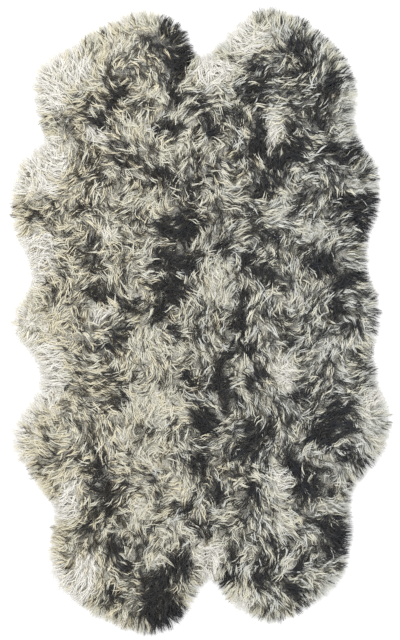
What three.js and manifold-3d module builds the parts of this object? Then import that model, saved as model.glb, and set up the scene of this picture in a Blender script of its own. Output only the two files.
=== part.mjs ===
// A long-wool sheepskin rug, sewn from four pelts and lying flat on the floor.
// Millimetres, +Z up, +Y along the rug's length. Each pelt is a tanned hide with its own fleece:
// a lumpy slab of wool whose rim locks hang over the hide's edge and rest on the floor.
import * as THREE from 'three';
import { ImprovedNoise } from 'three/addons/math/ImprovedNoise.js';
import Module from 'manifold-3d';

// Hide
const HIDE_THICKNESS = 2;
const HIDE_INSET = 44; // from the wool tips at the rim in to the hide's trimmed edge
const PIECE_GAP = 0.3; // air between neighbouring pieces
const POCKET_OVERRUN = 1; // how far the cut for a hide runs out of the fleece

// Fleece slab
const PILE_HEIGHT = 50; // the wool's top above the floor, between its lumps
const RIM_HEIGHT = 17; // the slab's height at its free edge
const RIM_ROUNDING = 80; // from the free edge in to the full pile height
const RIM_INSET = 24; // from the wool tips in to the slab's free edge
const SEAM_DIP = 4; // how far the wool sinks where two pelts meet
const SEAM_DIP_WIDTH = 18;
const LUMPS = [
  { across: 135, height: 17 },
  { across: 66, height: 11 },
];
const LUMPS_AT_RIM = 0.3; // share of the lumps' height that is left at the free edge
const STEPS_ACROSS = 15; // mesh steps of one slab from the length seam out to its side
const STEPS_ALONG = 24; // mesh steps of one slab from the width seam out to its end

// Rim locks
const LOCK_PITCH = 24; // from tip to tip along the rim
const LOCK_WIDTH = 19;
const LOCK_HEIGHT = 13;
const LOCK_SIZE_SPREAD = 0.5; // how unevenly thick the locks are, as a share of their size
const LOCK_ROOT = 13; // how deep a lock's root sits in the slab
const LOCK_LIFT = 12; // how high an upper lock leaves the slab
const LOCK_BEND = 14; // sideways curve
const REACH_SPREAD = 22; // how unevenly the tips reach
const LEAN_SPREAD = 20; // how far a tip leans along the rim
const LEAN_PATCH = 210; // the locks lean together over about this stretch of rim
const CHANGE_PER_LOCK = 0.73; // step in the noise from one lock to the next
const BETWEEN = 0.5; // the noise is always zero at whole numbers
const LOCKS_TO_FULL_LEAN = 3; // locks beside a seam end stand straighter
const LOCK_STATIONS = [
  { along: 0, size: 1, lift: 1, bend: 0 },
  { along: 0.38, size: 0.92, lift: 0.55, bend: 0.8 },
  { along: 0.7, size: 0.6, lift: 0, bend: 1 },
];
const SEAM_CLEARANCE = 12; // from a seam end to the first lock's tip

// Points of the wool's outline, clockwise from the left end of the width seam, as seen from above.
// Each pelt's first row is a seam end. Its corner row is where its side turns into its end.
const RIM = [
  {
    pelt: 'far_left',
    corner: 'shoulder',
    rows: [
      { at: 'seam end', x: -560, y: 0 },
      { at: 'belly', x: -500, y: 95 },
      { at: 'flank notch', x: -490, y: 160 },
      { at: 'leg below', x: -535, y: 280 },
      { at: 'leg', x: -552, y: 390 },
      { at: 'leg above', x: -520, y: 475 },
      { at: 'neck notch', x: -455, y: 520 },
      { at: 'shoulder below', x: -480, y: 630 },
      { at: 'shoulder', x: -470, y: 745 },
      { at: 'neck side', x: -345, y: 832 },
      { at: 'neck rise', x: -230, y: 905 },
      { at: 'neck', x: -145, y: 925 },
      { at: 'neck fall', x: -45, y: 868 },
    ],
  },
  {
    pelt: 'far_right',
    corner: 'shoulder',
    rows: [
      { at: 'seam end', x: 2, y: 768 },
      { at: 'neck fall', x: 68, y: 828 },
      { at: 'neck rise', x: 140, y: 905 },
      { at: 'neck', x: 230, y: 925 },
      { at: 'neck side', x: 330, y: 885 },
      { at: 'shoulder', x: 430, y: 785 },
      { at: 'shoulder below', x: 468, y: 650 },
      { at: 'neck notch', x: 475, y: 540 },
      { at: 'leg', x: 528, y: 445 },
      { at: 'leg below', x: 533, y: 345 },
      { at: 'flank notch', x: 490, y: 218 },
      { at: 'belly', x: 505, y: 120 },
    ],
  },
  {
    pelt: 'near_right',
    corner: 'rump corner',
    rows: [
      { at: 'seam end', x: 533, y: 33 },
      { at: 'flank notch', x: 512, y: -90 },
      { at: 'leg above', x: 525, y: -185 },
      { at: 'leg', x: 560, y: -265 },
      { at: 'leg below', x: 542, y: -385 },
      { at: 'rump side', x: 470, y: -470 },
      { at: 'rump notch', x: 447, y: -550 },
      { at: 'rump', x: 453, y: -650 },
      { at: 'rump corner', x: 418, y: -765 },
      { at: 'tail side', x: 325, y: -842 },
      { at: 'tail', x: 225, y: -883 },
      { at: 'tail fall', x: 110, y: -845 },
    ],
  },
  {
    pelt: 'near_left',
    corner: 'rump corner',
    rows: [
      { at: 'seam end', x: 25, y: -752 },
      { at: 'tail fall', x: -20, y: -835 },
      { at: 'tail', x: -92, y: -912 },
      { at: 'tail side', x: -205, y: -915 },
      { at: 'rump side', x: -325, y: -855 },
      { at: 'rump corner', x: -425, y: -745 },
      { at: 'rump', x: -435, y: -640 },
      { at: 'rump notch', x: -425, y: -545 },
      { at: 'leg below', x: -490, y: -460 },
      { at: 'leg', x: -548, y: -355 },
      { at: 'leg above', x: -512, y: -265 },
      { at: 'flank notch', x: -460, y: -190 },
      { at: 'belly', x: -490, y: -100 },
    ],
  },
];
const SAMPLES_PER_ROW = 5;
const NORMAL_SPAN = 1; // samples on each side that set the outline's direction
const SMOOTHING_PASSES = 2;

const wasm = await Module();
wasm.setup();
const noise = new ImprovedNoise();

// Outline, sampled as one closed loop
const rows = RIM.flatMap((pelt) => pelt.rows);
const rimCurve = new THREE.CatmullRomCurve3(
  rows.map((row) => new THREE.Vector3(row.x, row.y, 0)),
  true,
);
const sampleCount = rows.length * SAMPLES_PER_ROW;
const rim = [];
for (let i = 0; i < sampleCount; i++) {
  const point = rimCurve.getPoint(i / sampleCount);
  rim.push(new THREE.Vector2(point.x, point.y));
}

const wrap = (index) => (index + sampleCount) % sampleCount;

const outward = rim.map((_, i) => {
  const before = rim[wrap(i - NORMAL_SPAN)];
  const after = rim[wrap(i + NORMAL_SPAN)];
  return new THREE.Vector2(before.y - after.y, after.x - before.x).normalize();
});

// The outline moved inwards, and smoothed so that it doesn't cross itself in the lobes.
function insetRim(distance) {
  let loop = rim.map((point, i) => point.clone().addScaledVector(outward[i], -distance));
  for (let pass = 0; pass < SMOOTHING_PASSES; pass++) {
    loop = loop.map((point, i) => {
      const middle = loop[wrap(i - 1)].clone().lerp(loop[wrap(i + 1)], 0.5);
      return middle.lerp(point, 0.5);
    });
  }
  return loop;
}

const slabRim = insetRim(RIM_INSET);
const hideRim = insetRim(HIDE_INSET);
const pocketRim = insetRim(HIDE_INSET - PIECE_GAP);

// Seams: straight lines between facing seam ends
const seamEnds = RIM.map((pelt) => new THREE.Vector2(pelt.rows[0].x, pelt.rows[0].y));
const widthSeam = { from: seamEnds[0], to: seamEnds[2] };
const lengthSeam = { from: seamEnds[1], to: seamEnds[3] };

// Signed distance from a seam's line, positive on its left as seen along it.
function besideSeam(seam, point) {
  const run = seam.to.clone().sub(seam.from);
  return run.cross(point.clone().sub(seam.from)) / run.length();
}

// A seam's line moved towards one side.
function movedSeam(seam, side, distance) {
  const run = seam.to.clone().sub(seam.from).normalize();
  const step = new THREE.Vector2(-run.y, run.x).multiplyScalar(side * distance);
  return { from: seam.from.clone().add(step), to: seam.to.clone().add(step) };
}

// The point itself, or the nearest one that keeps its distance from both of the pelt's seams.
function keptOffSeams(pelt, point, distance) {
  const kept = point.clone();
  for (const [seam, side] of [[widthSeam, pelt.widthSide], [lengthSeam, pelt.lengthSide]]) {
    const short = distance - side * besideSeam(seam, kept);
    if (short > 0) {
      const run = seam.to.clone().sub(seam.from).normalize();
      kept.add(new THREE.Vector2(-run.y, run.x).multiplyScalar(side * short));
    }
  }
  return kept;
}

function projected(seam, point) {
  const run = seam.to.clone().sub(seam.from).normalize();
  return seam.from.clone().addScaledVector(run, point.clone().sub(seam.from).dot(run));
}

function crossing(one, other) {
  const run = one.to.clone().sub(one.from);
  const otherRun = other.to.clone().sub(other.from);
  const share = other.from.clone().sub(one.from).cross(otherRun) / run.cross(otherRun);
  return one.from.clone().addScaledVector(run, share);
}

// Each pelt's stretch of the outline, and which side of the two seams it lies on.
const pelts = RIM.map((entry, index) => {
  const firstRow = RIM.slice(0, index).reduce((sum, pelt) => sum + pelt.rows.length, 0);
  const cornerRow = firstRow + entry.rows.findIndex((row) => row.at === entry.corner);
  const corner = rim[cornerRow * SAMPLES_PER_ROW];
  return {
    name: entry.pelt,
    start: firstRow * SAMPLES_PER_ROW,
    corner: cornerRow * SAMPLES_PER_ROW,
    end: (firstRow + entry.rows.length) * SAMPLES_PER_ROW,
    startsAtSide: index % 2 === 0,
    widthSide: Math.sign(besideSeam(widthSeam, corner)),
    lengthSide: Math.sign(besideSeam(lengthSeam, corner)),
  };
});

function stretch(loop, start, end) {
  const points = [];
  for (let i = start; i <= end; i++) points.push(loop[wrap(i)].clone());
  return points;
}

// A pelt's four edges on a given loop, which stand clear of the seams by the given distance.
function peltEdges(pelt, loop, clearance) {
  const first = stretch(loop, pelt.start, pelt.corner);
  const second = stretch(loop, pelt.corner, pelt.end).reverse();
  const [side, end] = pelt.startsAtSide ? [first, second] : [second, first];
  const acrossSeam = movedSeam(widthSeam, pelt.widthSide, clearance);
  const alongSeam = movedSeam(lengthSeam, pelt.lengthSide, clearance);
  side[0] = projected(acrossSeam, side[0]);
  end[0] = projected(alongSeam, end[0]);
  return { side, end, inner: crossing(acrossSeam, alongSeam) };
}

// A hide's outline as one loop: the inner corner, out along one seam and back along the other.
function hideOutline(pelt) {
  const { side, end, inner } = peltEdges(pelt, hideRim, PIECE_GAP / 2);
  return [inner, ...side, ...end.slice(0, -1).reverse()];
}

// The hide's place under the fleece, which runs out past both seams.
function pocketOutline(pelt) {
  const { side, end } = peltEdges(pelt, pocketRim, PIECE_GAP / 2);
  const past = peltEdges(pelt, pocketRim, -POCKET_OVERRUN);
  return [past.inner, past.side[0], ...side, ...end.slice(0, -1).reverse(), past.end[0]];
}

function lineLength(line) {
  return line.slice(1).reduce((sum, point, i) => sum + point.distanceTo(line[i]), 0);
}

// Where a distance along a polyline falls: the step it is in, and the share of that step.
function placeAlong(line, distance) {
  let left = distance;
  let step = 0;
  while (step < line.length - 2 && left > line[step].distanceTo(line[step + 1])) {
    left -= line[step].distanceTo(line[step + 1]);
    step += 1;
  }
  return { step, share: Math.min(left / line[step].distanceTo(line[step + 1]), 1) };
}

function pointAt(line, { step, share }) {
  return line[step].clone().lerp(line[step + 1], share);
}

function pointAtShare(line, share) {
  return pointAt(line, placeAlong(line, share * lineLength(line)));
}

function distanceToRim(point) {
  let nearest = Infinity;
  for (let i = 0; i < sampleCount; i++) {
    const from = slabRim[i];
    const run = slabRim[wrap(i + 1)].clone().sub(from);
    const share = THREE.MathUtils.clamp(point.clone().sub(from).dot(run) / run.lengthSq(), 0, 1);
    nearest = Math.min(nearest, from.clone().addScaledVector(run, share).distanceTo(point));
  }
  return nearest;
}

// The wool's height: round at the free edge, a little lower at the seams, and lumpy all over.
function woolHeight(point) {
  const share = Math.min(distanceToRim(point) / RIM_ROUNDING, 1);
  const round = Math.sqrt(1 - (1 - share) ** 2);
  let height = RIM_HEIGHT + (PILE_HEIGHT - RIM_HEIGHT) * round;
  for (const seam of [widthSeam, lengthSeam]) {
    height -= SEAM_DIP * Math.exp(-((besideSeam(seam, point) / SEAM_DIP_WIDTH) ** 2)) * round;
  }
  for (const lump of LUMPS) {
    const rise = noise.noise(point.x / lump.across, point.y / lump.across, lump.across);
    height += lump.height * rise * THREE.MathUtils.lerp(LUMPS_AT_RIM, 1, round);
  }
  return height;
}

// A closed body of points and triangles.
function solid(points, triangles) {
  const mesh = new wasm.Mesh({
    numProp: 3,
    vertProperties: new Float32Array(points.flatMap((point) => [point.x, point.y, point.z])),
    triVerts: new Uint32Array(triangles.flat()),
  });
  return new wasm.Manifold(mesh);
}

// The walls between a lower and an upper loop that run anticlockwise as seen from above.
function walls(count, lower, upper) {
  const triangles = [];
  for (let i = 0; i < count; i++) {
    const next = (i + 1) % count;
    triangles.push([lower(i), lower(next), upper(next)], [lower(i), upper(next), upper(i)]);
  }
  return triangles;
}

// A loop turned anticlockwise, and the triangles that fill it.
function facingUp(loop) {
  const ordered = THREE.ShapeUtils.isClockWise(loop) ? [...loop].reverse() : loop;
  return { loop: ordered, triangles: THREE.ShapeUtils.triangulateShape(ordered, []) };
}

// A flat sheet of one outline.
function sheet(outline, bottom, top) {
  const { loop, triangles } = facingUp(outline);
  const points = [bottom, top].flatMap((z) => loop.map(({ x, y }) => new THREE.Vector3(x, y, z)));
  const raised = triangles.map((triangle) => triangle.map((i) => i + loop.length));
  const lowered = triangles.map(([a, b, c]) => [c, b, a]);
  const sides = walls(loop.length, (i) => i, (i) => i + loop.length);
  return solid(points, [...raised, ...lowered, ...sides]);
}

// A point of the patch stretched between a pelt's two seams, its side and its end.
function patchPoint({ side, end, inner }, u, v) {
  const [sideSeam, endSeam, corner] = [side[0], end[0], side.at(-1)];
  const point = inner.clone().lerp(sideSeam, u).multiplyScalar(1 - v);
  point.addScaledVector(pointAtShare(end, u), v);
  point.addScaledVector(inner.clone().lerp(endSeam, v), 1 - u);
  point.addScaledVector(pointAtShare(side, v), u);
  point.addScaledVector(inner, -(1 - u) * (1 - v));
  point.addScaledVector(sideSeam, -u * (1 - v));
  point.addScaledVector(endSeam, -(1 - u) * v);
  return point.addScaledVector(corner, -u * v);
}

// One pelt's slab of wool: a lumpy grid over its patch, on a flat bottom.
function slab(pelt) {
  const edges = peltEdges(pelt, slabRim, PIECE_GAP / 2);
  const top = [];
  for (let j = 0; j <= STEPS_ALONG; j++) {
    for (let i = 0; i <= STEPS_ACROSS; i++) {
      const point = patchPoint(edges, i / STEPS_ACROSS, j / STEPS_ALONG);
      top.push(new THREE.Vector3(point.x, point.y, woolHeight(point)));
    }
  }
  const index = (i, j) => j * (STEPS_ACROSS + 1) + i;
  const turned = pelt.widthSide * pelt.lengthSide < 0;
  const facing = (triangle) => (turned ? triangle.reverse() : triangle);
  const triangles = [];
  for (let j = 0; j < STEPS_ALONG; j++) {
    for (let i = 0; i < STEPS_ACROSS; i++) {
      const [a, b, c, d] = [index(i, j), index(i + 1, j), index(i + 1, j + 1), index(i, j + 1)];
      triangles.push(facing([a, b, c]), facing([a, c, d]));
    }
  }
  const border = [];
  for (let i = 0; i < STEPS_ACROSS; i++) border.push(index(i, 0));
  for (let j = 0; j < STEPS_ALONG; j++) border.push(index(STEPS_ACROSS, j));
  for (let i = STEPS_ACROSS; i > 0; i--) border.push(index(i, STEPS_ALONG));
  for (let j = STEPS_ALONG; j > 0; j--) border.push(index(0, j));
  facing(border);
  const floor = border.map((i) => new THREE.Vector2(top[i].x, top[i].y));
  const bottom = THREE.ShapeUtils.triangulateShape(floor, []);
  const points = [...top, ...floor.map(({ x, y }) => new THREE.Vector3(x, y, 0))];
  const lower = (i) => top.length + i;
  triangles.push(...bottom.map(([a, b, c]) => [lower(c), lower(b), lower(a)]));
  triangles.push(...walls(border.length, lower, (i) => border[i]));
  return solid(points, triangles);
}

// One lock: a three-sided strand with its flat side down, which ends in a point on the floor.
function lock(root, tip, lift, bend, size) {
  const run = tip.clone().sub(root);
  const across = new THREE.Vector2(-run.y, run.x).normalize();
  const points = [];
  for (const station of LOCK_STATIONS) {
    const middle = root.clone().addScaledVector(run, station.along);
    middle.addScaledVector(across, bend * station.bend);
    const share = size * station.size;
    const half = across.clone().multiplyScalar((LOCK_WIDTH * share) / 2);
    const z = lift * station.lift;
    points.push(new THREE.Vector3(middle.x - half.x, middle.y - half.y, z));
    points.push(new THREE.Vector3(middle.x + half.x, middle.y + half.y, z));
    points.push(new THREE.Vector3(middle.x, middle.y, z + LOCK_HEIGHT * share));
  }
  points.push(new THREE.Vector3(tip.x, tip.y, 0));
  const triangles = [[2, 1, 0]];
  for (let ring = 0; ring < 3 * (LOCK_STATIONS.length - 1); ring += 3) {
    for (let k = 0; k < 3; k++) {
      const next = (k + 1) % 3;
      triangles.push([ring + k, ring + next + 3, ring + k + 3], [ring + k, ring + next, ring + next + 3]);
    }
  }
  const last = 3 * (LOCK_STATIONS.length - 1);
  for (let k = 0; k < 3; k++) triangles.push([last + k, last + ((k + 1) % 3), points.length - 1]);
  return solid(points, triangles);
}

// The locks along one pelt's free edge, evenly spaced along the tips.
function rimLocks(pelt) {
  const tips = stretch(rim, pelt.start, pelt.end);
  const roots = stretch(slabRim, pelt.start, pelt.end);
  const room = lineLength(tips) - 2 * SEAM_CLEARANCE;
  const count = Math.floor(room / LOCK_PITCH);
  const locks = [];
  for (let n = 0; n <= count; n++) {
    const place = placeAlong(tips, SEAM_CLEARANCE + (room * n) / count);
    const edge = pointAt(tips, place);
    const base = pointAt(roots, place);
    const free = edge.clone().sub(base).normalize();
    const along = new THREE.Vector2(free.y, -free.x);
    const freedom = Math.min(n, count - n, LOCKS_TO_FULL_LEAN) / LOCKS_TO_FULL_LEAN;
    const varied = (kind) => noise.noise(n * CHANGE_PER_LOCK, pelt.start + BETWEEN, kind + BETWEEN);
    const lean = LEAN_SPREAD * freedom * noise.noise((n * LOCK_PITCH) / LEAN_PATCH, 0, pelt.start);
    const root = base.addScaledVector(free, -LOCK_ROOT);
    const tip = edge.clone().addScaledVector(free, REACH_SPREAD * varied(0)).addScaledVector(along, lean);
    const [from, to] = [root, tip].map((point) => keptOffSeams(pelt, point, LOCK_WIDTH / 2 + PIECE_GAP));
    const size = 1 + LOCK_SIZE_SPREAD * freedom * varied(1);
    locks.push(lock(from, to, n % 2 ? LOCK_LIFT : 0, LOCK_BEND * freedom * varied(2), size));
  }
  return locks;
}

// A named mesh of a finished body.
function meshOf(name, body, material) {
  const { vertProperties, triVerts } = body.getMesh();
  const geometry = new THREE.BufferGeometry();
  geometry.setAttribute('position', new THREE.BufferAttribute(new Float32Array(vertProperties), 3));
  geometry.setIndex(new THREE.BufferAttribute(new Uint32Array(triVerts), 1));
  geometry.computeVertexNormals();
  const mesh = new THREE.Mesh(geometry, material);
  mesh.name = name;
  return mesh;
}

const hideMaterial = new THREE.MeshStandardMaterial({ color: 0xcdb894, roughness: 0.85, metalness: 0 });
const woolMaterial = new THREE.MeshStandardMaterial({ color: 0xd8d2c2, roughness: 0.95, metalness: 0 });

const rug = new THREE.Group();
for (const pelt of pelts) {
  const hide = sheet(hideOutline(pelt), 0, HIDE_THICKNESS);
  const pocket = sheet(pocketOutline(pelt), -POCKET_OVERRUN, HIDE_THICKNESS + PIECE_GAP);
  const wool = rimLocks(pelt).reduce((sum, one) => sum.add(one), slab(pelt)).subtract(pocket);
  rug.add(meshOf(`hide_${pelt.name}`, hide, hideMaterial));
  rug.add(meshOf(`fleece_${pelt.name}`, wool, woolMaterial));
}

// The origin is under the middle of the rug's box, on the floor.
const box = new THREE.Box3().setFromObject(rug);
const centre = box.getCenter(new THREE.Vector3());
rug.position.set(-centre.x, -centre.y, -box.min.z);

export default rug;
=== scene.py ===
# %% [markdown]
# A sheepskin rug in wool and leather
#
# The rug is four long-wool pelts, sewn together with the wool side up. Each pelt is a tanned hide, a
# dense cream under-wool, and thousands of curly locks, many of them dark at the tip. The solids of the
# rug come from its imported model. This lesson gives them their looks, one kind of piece at a time.

# %% Blender, the model and the rug's own size
import math
from functools import partial

import bmesh
import bpy
import numpy as np
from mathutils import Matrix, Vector, geometry, noise
from mathutils.bvhtree import BVHTree
from mathutils.kdtree import KDTree


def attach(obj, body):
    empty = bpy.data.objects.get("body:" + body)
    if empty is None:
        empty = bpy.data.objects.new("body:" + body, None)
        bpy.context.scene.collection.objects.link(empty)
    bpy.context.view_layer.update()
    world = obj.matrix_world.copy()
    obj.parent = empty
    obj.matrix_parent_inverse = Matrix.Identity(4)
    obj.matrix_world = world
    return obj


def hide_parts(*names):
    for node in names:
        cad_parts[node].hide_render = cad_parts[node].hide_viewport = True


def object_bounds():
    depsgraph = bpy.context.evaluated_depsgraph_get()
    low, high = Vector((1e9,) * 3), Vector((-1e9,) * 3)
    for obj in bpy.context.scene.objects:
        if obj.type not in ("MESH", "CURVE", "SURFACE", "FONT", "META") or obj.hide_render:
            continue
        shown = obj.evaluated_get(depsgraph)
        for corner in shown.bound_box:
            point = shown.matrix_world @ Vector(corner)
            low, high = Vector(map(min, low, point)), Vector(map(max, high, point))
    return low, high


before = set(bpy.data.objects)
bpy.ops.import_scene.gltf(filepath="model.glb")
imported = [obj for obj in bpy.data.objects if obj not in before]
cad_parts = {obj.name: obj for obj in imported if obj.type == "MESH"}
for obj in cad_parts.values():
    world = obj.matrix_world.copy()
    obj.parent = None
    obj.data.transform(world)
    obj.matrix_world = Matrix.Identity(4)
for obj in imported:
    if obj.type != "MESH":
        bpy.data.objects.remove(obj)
cad_low, cad_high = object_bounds()
PELTS = ("far_left", "far_right", "near_left", "near_right")
hides = {pelt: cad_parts["hide_" + pelt] for pelt in PELTS}


def link(name, data):
    """A new object in the scene."""
    made = bpy.data.objects.new(name, data)
    bpy.context.scene.collection.objects.link(made)
    return made


print("the rug is", [round(side, 3) for side in cad_high - cad_low], "m")

# %% [markdown]
# Node trees are easier to read as sums than as lists of links. A Wire stands for one output socket.
# Adding or multiplying two wires adds the node that does it: a Math node for numbers, and a Vector Math
# node as soon as one side is a vector. Every other kind of node comes from one method, node.


# %% Sums that build node trees
class Wire:
    """One output socket that can be used in a sum."""

    def __init__(self, graph, socket):
        self.graph = graph
        self.socket = socket

    def __neg__(self):
        return self * -1.0


def add_operator(method, operation):
    """Gives wires one operator, and its reflected form for a number on the left."""
    setattr(Wire, f"__{method}__", lambda self, other: self.graph.sum(operation, self, other))
    setattr(Wire, f"__r{method}__", lambda self, other: self.graph.sum(operation, other, self))


add_operator("add", "ADD")
add_operator("sub", "SUBTRACT")
add_operator("mul", "MULTIPLY")
add_operator("truediv", "DIVIDE")
add_operator("pow", "POWER")


def is_vector(value):
    return isinstance(value, Wire) and value.socket.type in ("VECTOR", "RGBA")


class Graph:
    """A node tree, with one method that adds any node."""

    def __init__(self, tree):
        self.tree = tree

    def node(self, kind, settings=None, values=None, out=0):
        """Adds a node, sets it up, fills its sockets with values or wires, and returns one output."""
        made = self.tree.nodes.new(kind)
        for name, value in (settings or {}).items():
            setattr(made, name, value)
        for name, value in (values or {}).items():
            socket = self.socket(made.inputs, name)
            if isinstance(value, Wire):
                self.tree.links.new(value.socket, socket)
            else:
                socket.default_value = value
        return Wire(self, self.socket(made.outputs, out))

    @staticmethod
    def socket(sockets, name):
        open_sockets = [socket for socket in sockets if socket.enabled]
        if isinstance(name, int):
            return open_sockets[name]
        return next(socket for socket in open_sockets if socket.name == name)

    def sum(self, operation, one, other):
        if is_vector(one) and operation == "MULTIPLY" and not is_vector(other):
            return self.vector("SCALE", one, Scale=other)
        if is_vector(other) and operation == "MULTIPLY" and not is_vector(one):
            return self.vector("SCALE", other, Scale=one)
        if is_vector(one) or is_vector(other):
            return self.vector(operation, one, other)
        return self.maths(operation, one, other)

    def maths(self, operation, *values):
        return self.node("ShaderNodeMath", {"operation": operation}, dict(enumerate(values)))

    def vector(self, operation, *values, **named):
        values = {**dict(enumerate(values)), **named}
        return self.node("ShaderNodeVectorMath", {"operation": operation}, values)

    def ease(self, value, start=0.0, end=1.0):
        """0 before start, 1 after end, and a soft S between them."""
        return self.node(
            "ShaderNodeMapRange",
            {"interpolation_type": "SMOOTHSTEP"},
            {"Value": value, "From Min": start, "From Max": end},
        )


def new_material(name, roughness, sheen=0.0):
    """A material, its graph, and a function that connects a wire to one of its shader's sockets."""
    material = bpy.data.materials.new(name)
    material.use_nodes = True
    shader = material.node_tree.nodes["Principled BSDF"]
    shader.inputs["Roughness"].default_value = roughness
    shader.inputs["Sheen Weight"].default_value = sheen
    graph = Graph(material.node_tree)

    def connect(wire, socket):
        graph.tree.links.new(wire.socket, shader.inputs[socket])

    return material, graph, connect


print("sums make nodes")

# %% [markdown]
# Pixels of the photograph become metres on the floor here, once. The camera hangs straight above the
# rug, with a long lens so that the rim isn't seen from the side, and fits the photograph's frame.

# %% The camera, above the rug
PHOTO_WIDTH, PHOTO_HEIGHT = 400, 640
METRES_PER_PIXEL = 0.002951
RUG_MIDDLE = Vector((-0.0010, 0.0022, 0.0))  # the photograph's middle, on the rug
WOOL_LEVEL = 0.04  # the height at which the scale holds
LENS, SENSOR = 85, 36  # in millimetres

camera = link("camera", bpy.data.cameras.new("camera"))
camera.data.lens = LENS
camera.data.sensor_width = SENSOR
camera.location = RUG_MIDDLE
camera.location.z = WOOL_LEVEL + PHOTO_HEIGHT * METRES_PER_PIXEL * LENS / SENSOR
bpy.context.scene.camera = camera
print("camera height", round(camera.location.z, 2), "m")

# %% [markdown]
# A pale floor and two soft lights are all the studio that a fleece needs. The world lights the wool
# evenly, and one large lamp to the far left gives the locks a bright side and a shaded one.

# %% The floor and the lights
FLOOR_SIZE = 40.0
FLOOR_GAP = 0.0008  # the rug rests just above the floor, so their faces don't flicker
FLOOR_COLOUR = (0.93, 0.93, 0.93, 1)
FLOOR_ROUGHNESS = 0.9
WORLD_COLOUR = (1.0, 1.0, 1.0, 1)
WORLD_STRENGTH = 1.0
LAMPS = {  # place, size and power
    "key": ((-1.6, 1.8, 3.6), 2.6, 90),
    "fill": ((2.0, -1.6, 4.0), 3.0, 30),
}

floor_material, graph, _ = new_material("pale_floor", FLOOR_ROUGHNESS)
graph.tree.nodes["Principled BSDF"].inputs["Base Color"].default_value = FLOOR_COLOUR

floor_mesh = bpy.data.meshes.new("floor")
half = FLOOR_SIZE / 2
corners = [(-half, -half), (half, -half), (half, half), (-half, half)]
floor_mesh.from_pydata([(x, y, -FLOOR_GAP) for x, y in corners], [], [(0, 1, 2, 3)])
floor_mesh.materials.append(floor_material)
floor = link("floor", floor_mesh)

world = bpy.data.worlds.new("studio")
bpy.context.scene.world = world
world.use_nodes = True
background = world.node_tree.nodes["Background"].inputs
background["Color"].default_value = WORLD_COLOUR
background["Strength"].default_value = WORLD_STRENGTH

for name, (place, size, power) in LAMPS.items():
    light = link(name, bpy.data.lights.new(name, "AREA"))
    light.data.size = size
    light.data.energy = power
    light.location = place
    light.rotation_euler = (-Vector(place)).to_track_quat("-Z", "Y").to_euler()
bpy.context.scene.view_settings.view_transform = "Standard"
print("floor and", len(LAMPS), "lights are in place")

# %% [markdown]
# Each hide's edge tells where its wool can grow. The hide in the model is a flat sheet, so the border
# of its bottom faces is the pelt's outline. Points on that border that lie next to another hide belong
# to a seam. The rest is the free edge, over which the wool falls.

# %% Outlines of the hides
SEAM_REACH = 0.004  # two borders closer than this are sewn together
BORDER_STEP = 0.008
WELD = 1e-5  # corners closer than this are one
DOWN = -0.9  # the normal of an underside points at least this far down


def faces_down(face):
    return face.normal.z < DOWN


def hide_border(node):
    """The outline of a hide's underside as an ordered loop of points, anticlockwise from above."""
    shape = bmesh.new()
    shape.from_mesh(node.data)
    bmesh.ops.remove_doubles(shape, verts=shape.verts, dist=WELD)
    after = {}
    for face in filter(faces_down, shape.faces):
        for loop in face.loops:
            if not all(faces_down(other) for other in loop.edge.link_faces):
                start, end = loop.vert, loop.link_loop_next.vert
                after[end] = start
    first = next(iter(after))
    loop = [first]
    while after[loop[-1]] is not first:
        loop.append(after[loop[-1]])
    points = np.array([vertex.co[:2] for vertex in loop])
    shape.free()
    return points


def evenly_stepped(loop, step):
    """The same closed loop, with points no further apart than a step."""
    points = []
    for start, end in zip(loop, np.roll(loop, -1, axis=0)):
        count = max(1, math.ceil(np.linalg.norm(end - start) / step))
        points.extend(start + (end - start) * share / count for share in range(count))
    return np.array(points)


borders = {pelt: evenly_stepped(hide_border(hides[pelt]), BORDER_STEP) for pelt in PELTS}


def nearest(points, others):
    """The nearest of the other points to each point, and how far away it is."""
    tree = KDTree(len(others))
    for index, point in enumerate(others):
        tree.insert((*point, 0), index)
    tree.balance()
    return [tree.find((*point, 0))[::2] for point in points]


def free_points(pelt):
    """Whether each point of a pelt's border is on its free edge, and not on a seam."""
    others = [point for other in PELTS if other != pelt for point in borders[other]]
    reach = SEAM_REACH + BORDER_STEP / 2
    return np.array([distance > reach for _, distance in nearest(borders[pelt], others)])


free = {pelt: free_points(pelt) for pelt in PELTS}
print({pelt: (len(borders[pelt]), int(free[pelt].sum())) for pelt in PELTS})

# %% [markdown]
# The wool reaches past the hide. How far it does is read off the model: the longest locks of the solid
# fleece near each point of the edge say where the wool ends, and its last few centimetres are loose
# hair. The four free edges are followed round as one line, so the wool has no notch at a seam's end.

# %% How far the dense wool reaches
AROUND = ("far_right", "far_left", "near_left", "near_right")  # anticlockwise, as the borders run
RIM_HAIR = 0.028  # from the edge of the dense wool out to the tips of the model's rim locks
OVERHANGS = (0.008, 0.04)  # the least and the most that the dense wool reaches past its hide
LOCK_PITCH = 0.012  # a lock this far to the side still counts as near
EDGE_BLEND = 3  # points to each side that share their overhang and their way out
COMB_LINE = 0.015  # the hair is combed towards a line this far outside the dense wool


def free_and_sewn(pelt):
    """The points of a pelt's free edge in order, and then those of its seams."""
    loop, is_free = borders[pelt], free[pelt]
    start = next(i for i in range(len(loop)) if is_free[i] and not is_free[i - 1])
    loop = np.roll(loop, -start, axis=0)
    return loop[: is_free.sum()], loop[is_free.sum() :]


def fleece_mesh():
    """The points and the faces of the model's four fleeces, in one list each."""
    points, faces = [], []
    for pelt in PELTS:
        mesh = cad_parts["fleece_" + pelt].data
        first = len(points)
        points.extend(vertex.co[:] for vertex in mesh.vertices)
        faces.extend([first + corner for corner in face.vertices] for face in mesh.polygons)
    return points, faces


fleece_points, fleece_faces = fleece_mesh()
fleece_rays = BVHTree.FromPolygons(fleece_points, fleece_faces)
fleece_flat = np.array(fleece_points)[:, :2]


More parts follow.
